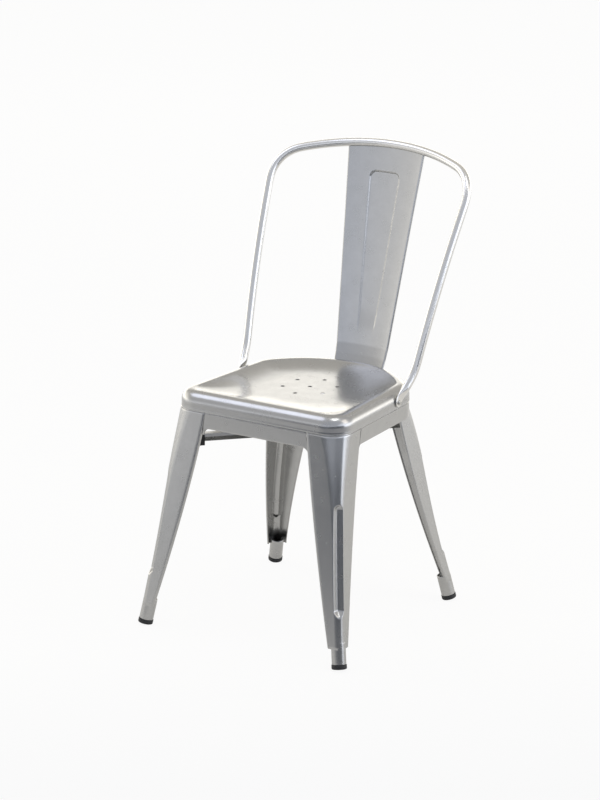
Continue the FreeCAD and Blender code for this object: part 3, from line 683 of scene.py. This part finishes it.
def crownLine(xs):  # underside of the hoop's crown, as height over x
    corner = np.array(hoop["corner"])
    top = np.array(hoop["top"])
    crown = cornerArc(corner, top, corner * vec(-1, 1, 1), hoop["crownReach"] * crownTan(corner, top), 161)
    order = np.argsort(crown[:, 0])
    return np.interp(xs, crown[order, 0], crown[order, 2]) - hoop["radius"] * splat["crownHold"]


def makeSplat():
    us = np.linspace(-1, 1, 161)
    top, fit = splat["topZ"], splat["fitFromZ"]
    zs = np.concatenate([np.linspace(splat["footZ"], 425, 5), np.linspace(430, 480, 26), np.linspace(484, top, 182)])
    rows = []
    for z in zs:
        y, h, radius = splatShape(z)
        x = us * h
        low = math.sqrt(radius * radius - h * h)
        zz = np.full_like(x, z)
        if z > fit:  # the upper part is drawn out to the hoop's curve
            zz = z + (crownLine(x) - top) * smooth((z - fit) / (top - fit))
        yy = np.array([splatShape(min(v, top))[0] for v in (zz if z > fit else [z])])
        rows.append(np.stack([x, yy - low + np.sqrt(radius * radius - x * x) + panelDrop(x, zz), zz], 1))
    rows = np.array(rows)
    curl = []
    for row in rows:
        ends = []
        for side, j in ((1, -1), (-1, 0)):
            t = unit((row[j] - row[j - 1]) if side == 1 else (row[0] - row[1]))
            back = unit(vec(-t[1] * side, t[0] * side, 0))
            back = back if back[1] > 0 else -back
            hub = row[j] + back * splat["roll"]
            a = np.linspace(-math.pi / 2, math.pi * 1.1, 12)[1:]
            pts = hub + splat["roll"] * (np.cos(a)[:, None] * t + np.sin(a)[:, None] * back)
            ends.append(pts)
        curl.append(np.concatenate([ends[1][::-1], row, ends[0]]))
    rows = np.array(curl)
    m, n = rows.shape[:2]
    piece = newPiece("splatPressing", rows.reshape(-1, 3), gridFaces(m, n))
    return thicken(piece, splat["sheet"])


# Aprons

apron = {"sheet": 1.2, "lip": 8.0, "bend": 2.0, "gusset": 13.0, "sideGusset": 6.0, "sideEnd": 48.0,
         "rearStart": 61.0, "gap": 0.5, "tuck": 8.0, "frontRun": 112.0, "sideRun": 180.0, "sideEase": 1.4}


def gussetDrop(e, r):  # how far the lower edge falls at a distance from the leg
    inner = np.clip(r - e, 0, r)
    return r - np.sqrt(r * r - inner * inner)


def apronSheet(name, place, drop, right=True):
    flush, bend = chair["flush"], apron["bend"]
    step = skirtZ - chair["joggle"]
    low = apronZ - drop
    rows = [place(tuckInset, low * 0 + skirtZ + apron["tuck"]), place(tuckInset, low * 0 + step + 0.7)]
    rows.append(place(flush, low * 0 + step))
    for f in np.linspace(0.08, 1, 14):
        rows.append(place(flush, step + (low + bend - step) * f))
    for a in np.linspace(0.26, math.pi / 2, 6):
        rows.append(place(flush + bend * (1 - math.cos(a)), low + bend - bend * math.sin(a)))
    rows.append(place(flush + apron["lip"], low))
    rows = np.array(rows)
    m, n = rows.shape[:2]
    if not right:
        rows[..., 0] *= -1
    piece = newPiece(name, rows.reshape(-1, 3), gridFaces(m, n, flip=right))
    return thicken(piece, apron["sheet"], 0.3)


def makeFrontApron():
    us = np.sin(np.linspace(-math.pi / 2, math.pi / 2, 91))

    def place(inset, zs):
        out = []
        for u, z in zip(us, zs):
            corner, uA, uB, w, r = legStation(True, z)
            out.append(vec(u * (corner[0] - w - apron["gap"]), chair["seatFrontY"] + inset, z))
        return out

    return apronSheet("apronFrontStrip", place, gussetDrop((1 - np.abs(us)) * apron["frontRun"], apron["gusset"]))


def makeSideApron(right):
    n = seat["segments"]
    start = n[0] + n[1] + n[2] - 3
    loop = seatOutline(chair["flush"], 0)[:sum(n) - 4]
    polar = np.degrees(np.arctan2(loop[:, 1] - rearArcY, loop[:, 0]))
    end = int(np.argmax(polar > apron["sideEnd"]))
    share = np.linspace(0, 1, 46) ** apron["sideEase"]

    def place(inset, zs):
        half = seatOutline(inset, 0)
        out = []
        for f, z in zip(share, zs):
            corner, uA, uB, w, r = legStation(True, z)
            y = corner[1] + w * uB[1] + apron["gap"]
            y += (half[start][1] - y) * f
            out.append(vec((sideReach - inset - sideNormal[1] * y) / sideNormal[0], y, z))
        for k, z in zip(range(start + 1, end), zs[len(share):]):
            out.append(vec(half[k][0], half[k][1], z))
        return out

    far = np.concatenate([share * apron["sideRun"], np.full(end - start - 1, apron["sideRun"])])
    name = "apronRightStrip" if right else "apronLeftStrip"
    return apronSheet(name, place, gussetDrop(far, apron["sideGusset"]), right)


def makeRearApron():
    angles = np.radians(np.linspace(apron["rearStart"], 180 - apron["rearStart"], 60))

    def place(inset, zs):
        span = chair["rearArc"] - inset
        return [vec(span * math.cos(a), rearArcY + span * math.sin(a), z) for a, z in zip(angles, zs)]

    return apronSheet("apronRearStrip", place, angles * 0)


# Feet, bumpers and screws

fittings = {
    "plugStem": 11.6, "plugRise": 22.0, "plugRound": 1.6, "barDrop": 23.4, "frontSetback": 60.0,
    "rearSetback": 118.0, "bumperLength": 14.0, "bumperWidth": 26.0, "bumperHang": 20.5,
    "bumperEdge": 0.7, "barHeight": 13.0, "barFoot": 11.6, "splatScrewX": 30.0, "splatScrewZ": 424.0,
}


def makePlug(name, front, right):
    centre, axis = footAxis(front, right)
    u = unit(np.cross(axis, vec(0, 1, 0)))
    v = np.cross(axis, u)
    cap, edge, stem = leg["cap"], fittings["plugRound"], fittings["plugStem"]
    high = leg["capHeight"] - 0.3
    profile = [(2.0, 0.0), (7.0, 0.0)]
    profile += [(cap - edge + edge * math.sin(a), edge - edge * math.cos(a)) for a in np.linspace(0, math.pi / 2, 6)]
    profile += [(cap, high - 0.5), (cap - 0.4, high), (stem + 0.2, high), (stem, high + 0.2)]
    profile += [(stem, fittings["plugRise"] - 0.8), (stem - 0.8, fittings["plugRise"]), (2.0, fittings["plugRise"])]
    a = np.linspace(0, 2 * math.pi, 65)[:-1]
    ring = np.cos(a)[:, None] * u + np.sin(a)[:, None] * v
    rows = np.array([centre + axis * h + radius * ring for radius, h in profile])
    rows[..., 2] = np.maximum(rows[..., 2], 0.0)  # rests flat on the floor
    m, k = rows.shape[:2]
    faces = gridFaces(m, k, closed=True) + [tuple(range(k))[::-1], tuple(range((m - 1) * k, m * k))]
    piece = newPiece(name, rows.reshape(-1, 3), faces)
    outward(piece)
    piece.data.set_sharp_from_angle(angle=math.radians(50))
    return piece


def bumperSpot(front, right):
    z = apronZ - fittings["barDrop"] - fittings["barHeight"] / 2
    frontEnd = legStation(True, z)[0] * vec(-1, 1, 0)
    rearEnd = legStation(False, z)[0] * vec(1, 1, 0)
    along = unit(rearEnd - frontEnd)
    spot = frontEnd + along * fittings["frontSetback"] if front else rearEnd - along * fittings["rearSetback"]
    side = vec(-1 if front == right else 1, 1, 1)
    return spot * side, along * side


def makeBumper(name, front, right):
    spot, along = bumperSpot(front, right)
    across = vec(-along[1], along[0])
    top = apronZ - fittings["barDrop"]
    low, seatZ = top - fittings["bumperHang"], top - fittings["barHeight"] - 0.4
    h, g = fittings["bumperWidth"] / 2, fittings["barFoot"]
    shape = [(-h, low), (h, low), (h, top), (g, top), (g, seatZ), (-g, seatZ), (-g, top), (-h, top)]
    rows = [[spot + along * side * fittings["bumperLength"] / 2 + across * x + vec(0, 0, z) for x, z in shape]
            for side in (-1, 1)]
    k = len(shape)
    faces = gridFaces(2, k, closed=True) + [tuple(range(k))[::-1], tuple(range(k, 2 * k))]
    piece = newPiece(name, np.array(rows).reshape(-1, 3), faces)
    outward(piece)
    edge = piece.modifiers.new("edge", "BEVEL")
    edge.width = fittings["bumperEdge"] / 1000.0
    edge.segments = 3
    return settle(piece, 40)


screws = {  # head radius, crown radius, head height, shank radius, shank length
    "hoop": (5.0, 3.3, 3.0, 2.5, 12.0), "splat": (5.0, 3.3, 3.0, 2.5, 11.0), "bumper": (3.75, 2.95, 2.2, 2.0, 16.0),
    "overTab": 0.3, "overSplat": 1.65, "overBar": 0.15,
}


def screwSet(name, spots, head, crown, high, shank, length):  # Geometry Nodes: one domed screw on each spot
    tree = bpy.data.node_groups.new(name, "GeometryNodeTree")
    face = tree.interface
    face.new_socket("Geometry", in_out="INPUT", socket_type="NodeSocketGeometry")
    face.new_socket("Geometry", in_out="OUTPUT", socket_type="NodeSocketGeometry")
    sizes = {"Head Radius": head, "Crown Radius": crown, "Head Height": high, "Shank Radius": shank,
             "Shank Length": length}
    keys = {k: face.new_socket(k, in_out="INPUT", socket_type="NodeSocketFloat").identifier for k in sizes}
    given = addNode(tree, "NodeGroupInput")
    axis = addNode(tree, "GeometryNodeInputNamedAttribute", {"data_type": "FLOAT_VECTOR", "Name": "axis"})
    turn = addNode(tree, "FunctionNodeAlignRotationToVector", {"axis": "Z"}, Vector=axis.outputs[0])
    dome = addNode(tree, "GeometryNodeMeshCone", {"Vertices": 32}, Radius_Top=given.outputs["Crown Radius"],
                   Radius_Bottom=given.outputs["Head Radius"], Depth=given.outputs["Head Height"])
    half = addNode(tree, "ShaderNodeMath", {"operation": "MULTIPLY", 1: -0.5}, i0=given.outputs["Shank Length"])
    sink = addNode(tree, "ShaderNodeCombineXYZ", Z=half.outputs[0])
    stem = addNode(tree, "GeometryNodeMeshCylinder", {"Vertices": 24}, Radius=given.outputs["Shank Radius"],
                   Depth=given.outputs["Shank Length"])
    stemLow = addNode(tree, "GeometryNodeTransform", Geometry=stem.outputs[0], Translation=sink.outputs[0])
    whole = addNode(tree, "GeometryNodeJoinGeometry")
    tree.links.new(dome.outputs[0], whole.inputs[0])
    tree.links.new(stemLow.outputs[0], whole.inputs[0])
    placed = addNode(tree, "GeometryNodeInstanceOnPoints", Points=given.outputs["Geometry"],
                     Instance=whole.outputs[0], Rotation=turn.outputs[0])
    real = addNode(tree, "GeometryNodeRealizeInstances", Geometry=placed.outputs[0])
    made = addNode(tree, "GeometryNodeSetMaterial", {"Material": screwZinc}, Geometry=real.outputs[0])
    addNode(tree, "NodeGroupOutput", Geometry=made.outputs[0])
    carrier = newPiece(name, [spot for spot, n in spots], [])
    axes = carrier.data.attributes.new("axis", "FLOAT_VECTOR", "POINT")
    for item, (spot, n) in zip(axes.data, spots):
        item.vector = tuple(n)
    nodes = carrier.modifiers.new("screws", "NODES")
    nodes.node_group = tree
    for key, value in sizes.items():
        nodes[keys[key]] = value / 1000.0
    settle(carrier)
    edge = carrier.modifiers.new("edge", "BEVEL")
    edge.width = high * 0.25 / 1000.0
    edge.segments = 3
    edge.limit_method = "ANGLE"
    edge.angle_limit = math.radians(35)
    return settle(carrier, 40)


def makeScrews():
    spot, n = hoopScrew()
    flip = vec(-1, 1, 1)
    end = spot + n * (hoop["tabThick"] + screws["overTab"])
    ends = [(end, n), (end * flip, n * flip)]
    backs = []
    for x in (-fittings["splatScrewX"], fittings["splatScrewX"]):
        n = unit(vec(x, math.sqrt(chair["rearArc"] ** 2 - x * x)))
        backs.append((vec(0, rearArcY, fittings["splatScrewZ"]) + n * (chair["rearArc"] + screws["overSplat"]), n))
    tops = []
    for front in (True, False):
        for right in (True, False):
            spot = bumperSpot(front, right)[0]
            tops.append((vec(spot[0], spot[1], apronZ - fittings["barDrop"] + screws["overBar"]), vec(0, 0, 1)))
    for name, kind, spots in (("hoopScrewPair", "hoop", ends), ("splatScrewPair", "splat", backs),
                              ("bumperScrewSet", "bumper", tops)):
        dress(screwSet(name, spots, *screws[kind]), screwZinc, "fastener_steel", kind + "_screws")


def makeAll():
    dress(makeSeat(), sheetSteel, "seat_steel", "seat_pan")
    print("seat pressed and drained")
    for front in (True, False):
        for right in (True, False):
            end = "front" if front else "rear"
            side = "right" if right else "left"
            name = end.title() + side.title()
            dress(makeLeg("leg" + name, front, right), sheetSteel, "leg_steel", "leg_" + end + "_" + side)
            dress(makePlug("footPlug" + name, front, right), blackRubber, "foot_rubber",
                  "foot_plug_" + end + "_" + side)
            dress(makeBumper("bumper" + name, front, right), blackRubber, "bumper_rubber",
                  "bumper_" + end + "_" + side)
    print("legs pressed, plugged and given their bumpers")
    dress(makeFrontApron(), sheetSteel, "apron_steel", "apron_front")
    dress(makeSideApron(True), sheetSteel, "apron_steel", "apron_right")
    dress(makeSideApron(False), sheetSteel, "apron_steel", "apron_left")
    dress(makeRearApron(), sheetSteel, "apron_steel", "apron_rear")
    print("aprons folded")
    dress(makeHoop(), tubeSteelPaintedBright, "tube_steel", "back_hoop")
    dress(makeSplat(), sheetSteel, "splat_steel", "back_splat")
    makeScrews()
    print("back bent, pressed and screwed")


makeAll()

# Frame nodes that stay
stay = {"brace_bar": sheetSteel, "brace_rivet": screwZinc, "hoop_nuts": screwZinc, "splat_nuts": screwZinc}
for name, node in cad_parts.items():
    for start, material in stay.items():
        if name.startswith(start):
            node.data.materials.clear()
            node.data.materials.append(material)
            break
print("frame nodes dressed")


# Stage

stageSizes = {
    "floorRadius": 20.0, "paper": 0.925, "glossNear": 0.3, "glossFar": 0.95, "glossRange": (1.8, 3.4),
    # the next two entries give the direction and span of the painted shade on the floor
    "paintedShadeWay": (0.6, -0.8, 0.0), "paintedShadeRange": (0.2, 1.1),
    "screen": ((-1.13, -2.0, 0.52), (0.4, -2.2, 0.58), (1.8, -1.8, 0.78), (2.5, -0.8, 0.85), (2.6, -0.2, 0.85)),
}


def whitePaper(tree, base, share, gloss):  # white for the camera, part of it for metal, and it keeps the shadow
    path = addNode(tree, "ShaderNodeLightPath")
    seen = addNode(tree, "ShaderNodeMath", {"operation": "ADD"}, i0=path.outputs["Is Glossy Ray"],
                   i1=path.outputs["Is Transmission Ray"])
    part = addNode(tree, "ShaderNodeMath", {"operation": "MULTIPLY"}, i0=seen.outputs[0], i1=gloss)
    full = addNode(tree, "ShaderNodeMath", {"operation": "MULTIPLY_ADD", 1: share},
                   i0=path.outputs["Is Camera Ray"], i2=part.outputs[0])
    white = addNode(tree, "ShaderNodeEmission", {"Color": (1, 1, 1, 1), "Strength": 1.0})
    mixed = addNode(tree, "ShaderNodeMixShader", i0=full.outputs[0], i1=base.outputs[0], i2=white.outputs[0])
    return mixed


def makeFloor():  # pearl paper with painted shade: darker towards the front right in place of the room's shade there, so the legs keep a dark side
    a = np.linspace(0, 2 * math.pi, 97)[:-1]
    ring = np.stack([np.cos(a), np.sin(a), a * 0], 1) * stageSizes["floorRadius"]
    floor = newPiece("studioFloor", ring, [tuple(range(96))], packed=True)
    material, tree = newMaterial("pearlPaperFloor")
    space = addNode(tree, "ShaderNodeTexCoord").outputs["Object"]
    mottle = addNode(tree, "ShaderNodeTexNoise", {"Scale": 3.0}, Vector=space)
    base = addNode(tree, "ShaderNodeMix", {"data_type": "RGBA", 6: linear("ece9e2"), 7: linear("e8e5de")},
                   i0=mottle.outputs["Fac"])
    # painted shade: the paper colour fades to blue-grey 858a96 towards the front right
    ahead = addNode(tree, "ShaderNodeVectorMath", {"operation": "DOT_PRODUCT", 1: stageSizes["paintedShadeWay"]}, i0=space)
    start, end = stageSizes["paintedShadeRange"]
    paintedShade = addNode(tree, "ShaderNodeMapRange", {"From Min": start, "From Max": end}, Value=ahead.outputs["Value"])
    paper = addNode(tree, "ShaderNodeMix", {"data_type": "RGBA", 7: linear("858a96")}, i0=paintedShade.outputs[0],
                    i6=base.outputs[2])
    shader = addNode(tree, "ShaderNodeBsdfPrincipled", {"Roughness": 0.8}, Base_Color=paper.outputs[2])
    reach = addNode(tree, "ShaderNodeVectorMath", {"operation": "LENGTH"}, i0=space)
    start, end = stageSizes["glossRange"]
    gloss = addNode(tree, "ShaderNodeMapRange", {"From Min": start, "From Max": end, "To Min": stageSizes["glossNear"],
                                                 "To Max": stageSizes["glossFar"]}, Value=reach.outputs["Value"])
    mixed = whitePaper(tree, shader, stageSizes["paper"], gloss.outputs[0])
    addNode(tree, "ShaderNodeOutputMaterial", Surface=mixed.outputs[0])
    floor.data.materials.append(material)


def makeFlat():  # painted shade: a low dark grey screen on the camera's side stands in for shade there, seen only in the metal: the near leg goes dark in it
    line = stageSizes["screen"]
    verts = [(x, y, 0.0) for x, y, high in line] + list(line)
    flat = newPiece("paintedShadeScreen", verts, gridFaces(2, len(line)), packed=True)
    material, tree = newMaterial("paintedShadeStudioScreen")
    space = addNode(tree, "ShaderNodeTexCoord").outputs["Object"]
    mottle = addNode(tree, "ShaderNodeTexNoise", {"Scale": 4.0}, Vector=space)
    # painted shade: dark blue-grey colours of the screen, seen only in reflections
    base = addNode(tree, "ShaderNodeMix", {"data_type": "RGBA", 6: linear("5a606c"), 7: linear("555b66")},
                   i0=mottle.outputs["Fac"])
    shader = addNode(tree, "ShaderNodeBsdfPrincipled", {"Roughness": 0.9}, Base_Color=base.outputs[2])
    addNode(tree, "ShaderNodeOutputMaterial", Surface=shader.outputs["BSDF"])
    flat.data.materials.append(material)
    flat.visible_camera = False


roomLight = {  # each: where it starts and ends on its axis, and its strength there
    "lowBand": (0.17, 0.31, 1.0, 0.0), "depth": (-0.2, 0.6, 0.55, 2.1), "flank": (0.8, 0.95, 0.66, 1.95),
    "warmth": (-0.9, 0.8, 0.0, 1.0), "glossyWhite": 0.15,
}


def makeWorld():  # bright low backdrop behind, softer room in front, cool on one side and warm on the other
    world = bpy.data.worlds.new("studioRoom")
    bpy.context.scene.world = world
    world.use_nodes = True
    tree = world.node_tree
    tree.nodes.clear()
    path = addNode(tree, "ShaderNodeLightPath")
    way = addNode(tree, "ShaderNodeTexCoord").outputs["Generated"]
    split = addNode(tree, "ShaderNodeSeparateXYZ", Vector=way)

    def band(key, source):
        start, end, first, last = roomLight[key]
        return addNode(tree, "ShaderNodeMapRange", {"From Min": start, "From Max": end, "To Min": first,
                                                    "To Max": last}, Value=source)

    low = band("lowBand", split.outputs["Z"])
    depth = band("depth", split.outputs["Y"])
    away = addNode(tree, "ShaderNodeMath", {"operation": "ABSOLUTE"}, i0=split.outputs["X"])
    flank = band("flank", away.outputs[0])
    level = addNode(tree, "ShaderNodeMath", {"operation": "MULTIPLY_ADD"}, i0=low.outputs[0], i1=depth.outputs[0],
                    i2=flank.outputs[0])
    side = addNode(tree, "ShaderNodeMath", {"operation": "SUBTRACT"}, i0=split.outputs["Y"], i1=split.outputs["X"])
    warm = band("warmth", side.outputs[0])
    tint = addNode(tree, "ShaderNodeMix", {"data_type": "RGBA", 6: linear("e9effd"), 7: linear("fbf6ec")},
                   i0=warm.outputs[0])
    room = addNode(tree, "ShaderNodeBackground", Color=tint.outputs[2], Strength=level.outputs[0])
    white = addNode(tree, "ShaderNodeBackground", {"Color": (1, 1, 1, 1), "Strength": 1.0})
    full = addNode(tree, "ShaderNodeMath", {"operation": "ADD"}, i0=path.outputs["Is Camera Ray"],
                   i1=path.outputs["Is Transmission Ray"])
    part = addNode(tree, "ShaderNodeMath", {"operation": "MULTIPLY_ADD", 1: roomLight["glossyWhite"]},
                   i0=path.outputs["Is Glossy Ray"], i2=full.outputs[0])
    mixed = addNode(tree, "ShaderNodeMixShader", i0=part.outputs[0], i1=room.outputs[0], i2=white.outputs[0])
    addNode(tree, "ShaderNodeOutputWorld", Surface=mixed.outputs[0])


def makeLamp(name, place, target, size, power, tint):
    data = bpy.data.lights.new(name, "AREA")
    data.shape = "RECTANGLE"
    data.size, data.size_y = size
    data.energy = power
    data.color = linear(tint)[:3]
    lamp = bpy.data.objects.new(name, data)
    bpy.context.scene.collection.objects.link(lamp)
    lamp.location = place
    lamp.rotation_euler = (Vector(target) - Vector(place)).to_track_quat("-Z", "Y").to_euler()


def makeCamera():
    place = {"x": 2680.7, "y": -4173.4, "z": 1900.2, "yaw": -32.765, "pitch": -16.627, "focalPixels": 2793.0}
    yaw = math.radians(place["yaw"])
    pitch = math.radians(place["pitch"])
    ahead = Vector((math.sin(yaw) * math.cos(pitch), math.cos(yaw) * math.cos(pitch), math.sin(pitch)))
    data = bpy.data.cameras.new("viewCamera")
    data.sensor_width = 36.0
    data.lens = place["focalPixels"] / 800.0 * 36.0
    camera = bpy.data.objects.new("viewCamera", data)
    bpy.context.scene.collection.objects.link(camera)
    camera.location = toPacked(vec(place["x"], place["y"], place["z"]))[0]
    camera.rotation_euler = ahead.to_track_quat("-Z", "Y").to_euler()
    data.clip_end = 100.0
    bpy.context.scene.camera = camera


makeFloor()
makeFlat()
makeWorld()
lamps = {  # place, aim, size in metres, watts, colour
    "overheadBox": ((-1.6, -0.7, 3.0), (0, 0, 0.4), (1.8, 1.4), 13.0, "e4eaff"),
    "backFloorBox": ((-2.6, 4.0, 1.9), (-2.6, 4.0, 0), (2.0, 2.0), 9.0, "ffffff"),
    "topBox": ((0.7, -0.3, 3.2), (0, 0, 0.4), (0.9, 0.9), 10.0, "ffffff"),
    "rightBox": ((2.6, 0.6, 2.4), (0.2, 0.3, 0.2), (1.4, 1.8), 11.0, "fff4e6"),
}
for name, settings in lamps.items():
    makeLamp(name, *settings)
makeCamera()
bpy.context.scene.view_settings.view_transform = "Standard"
print("stage set")
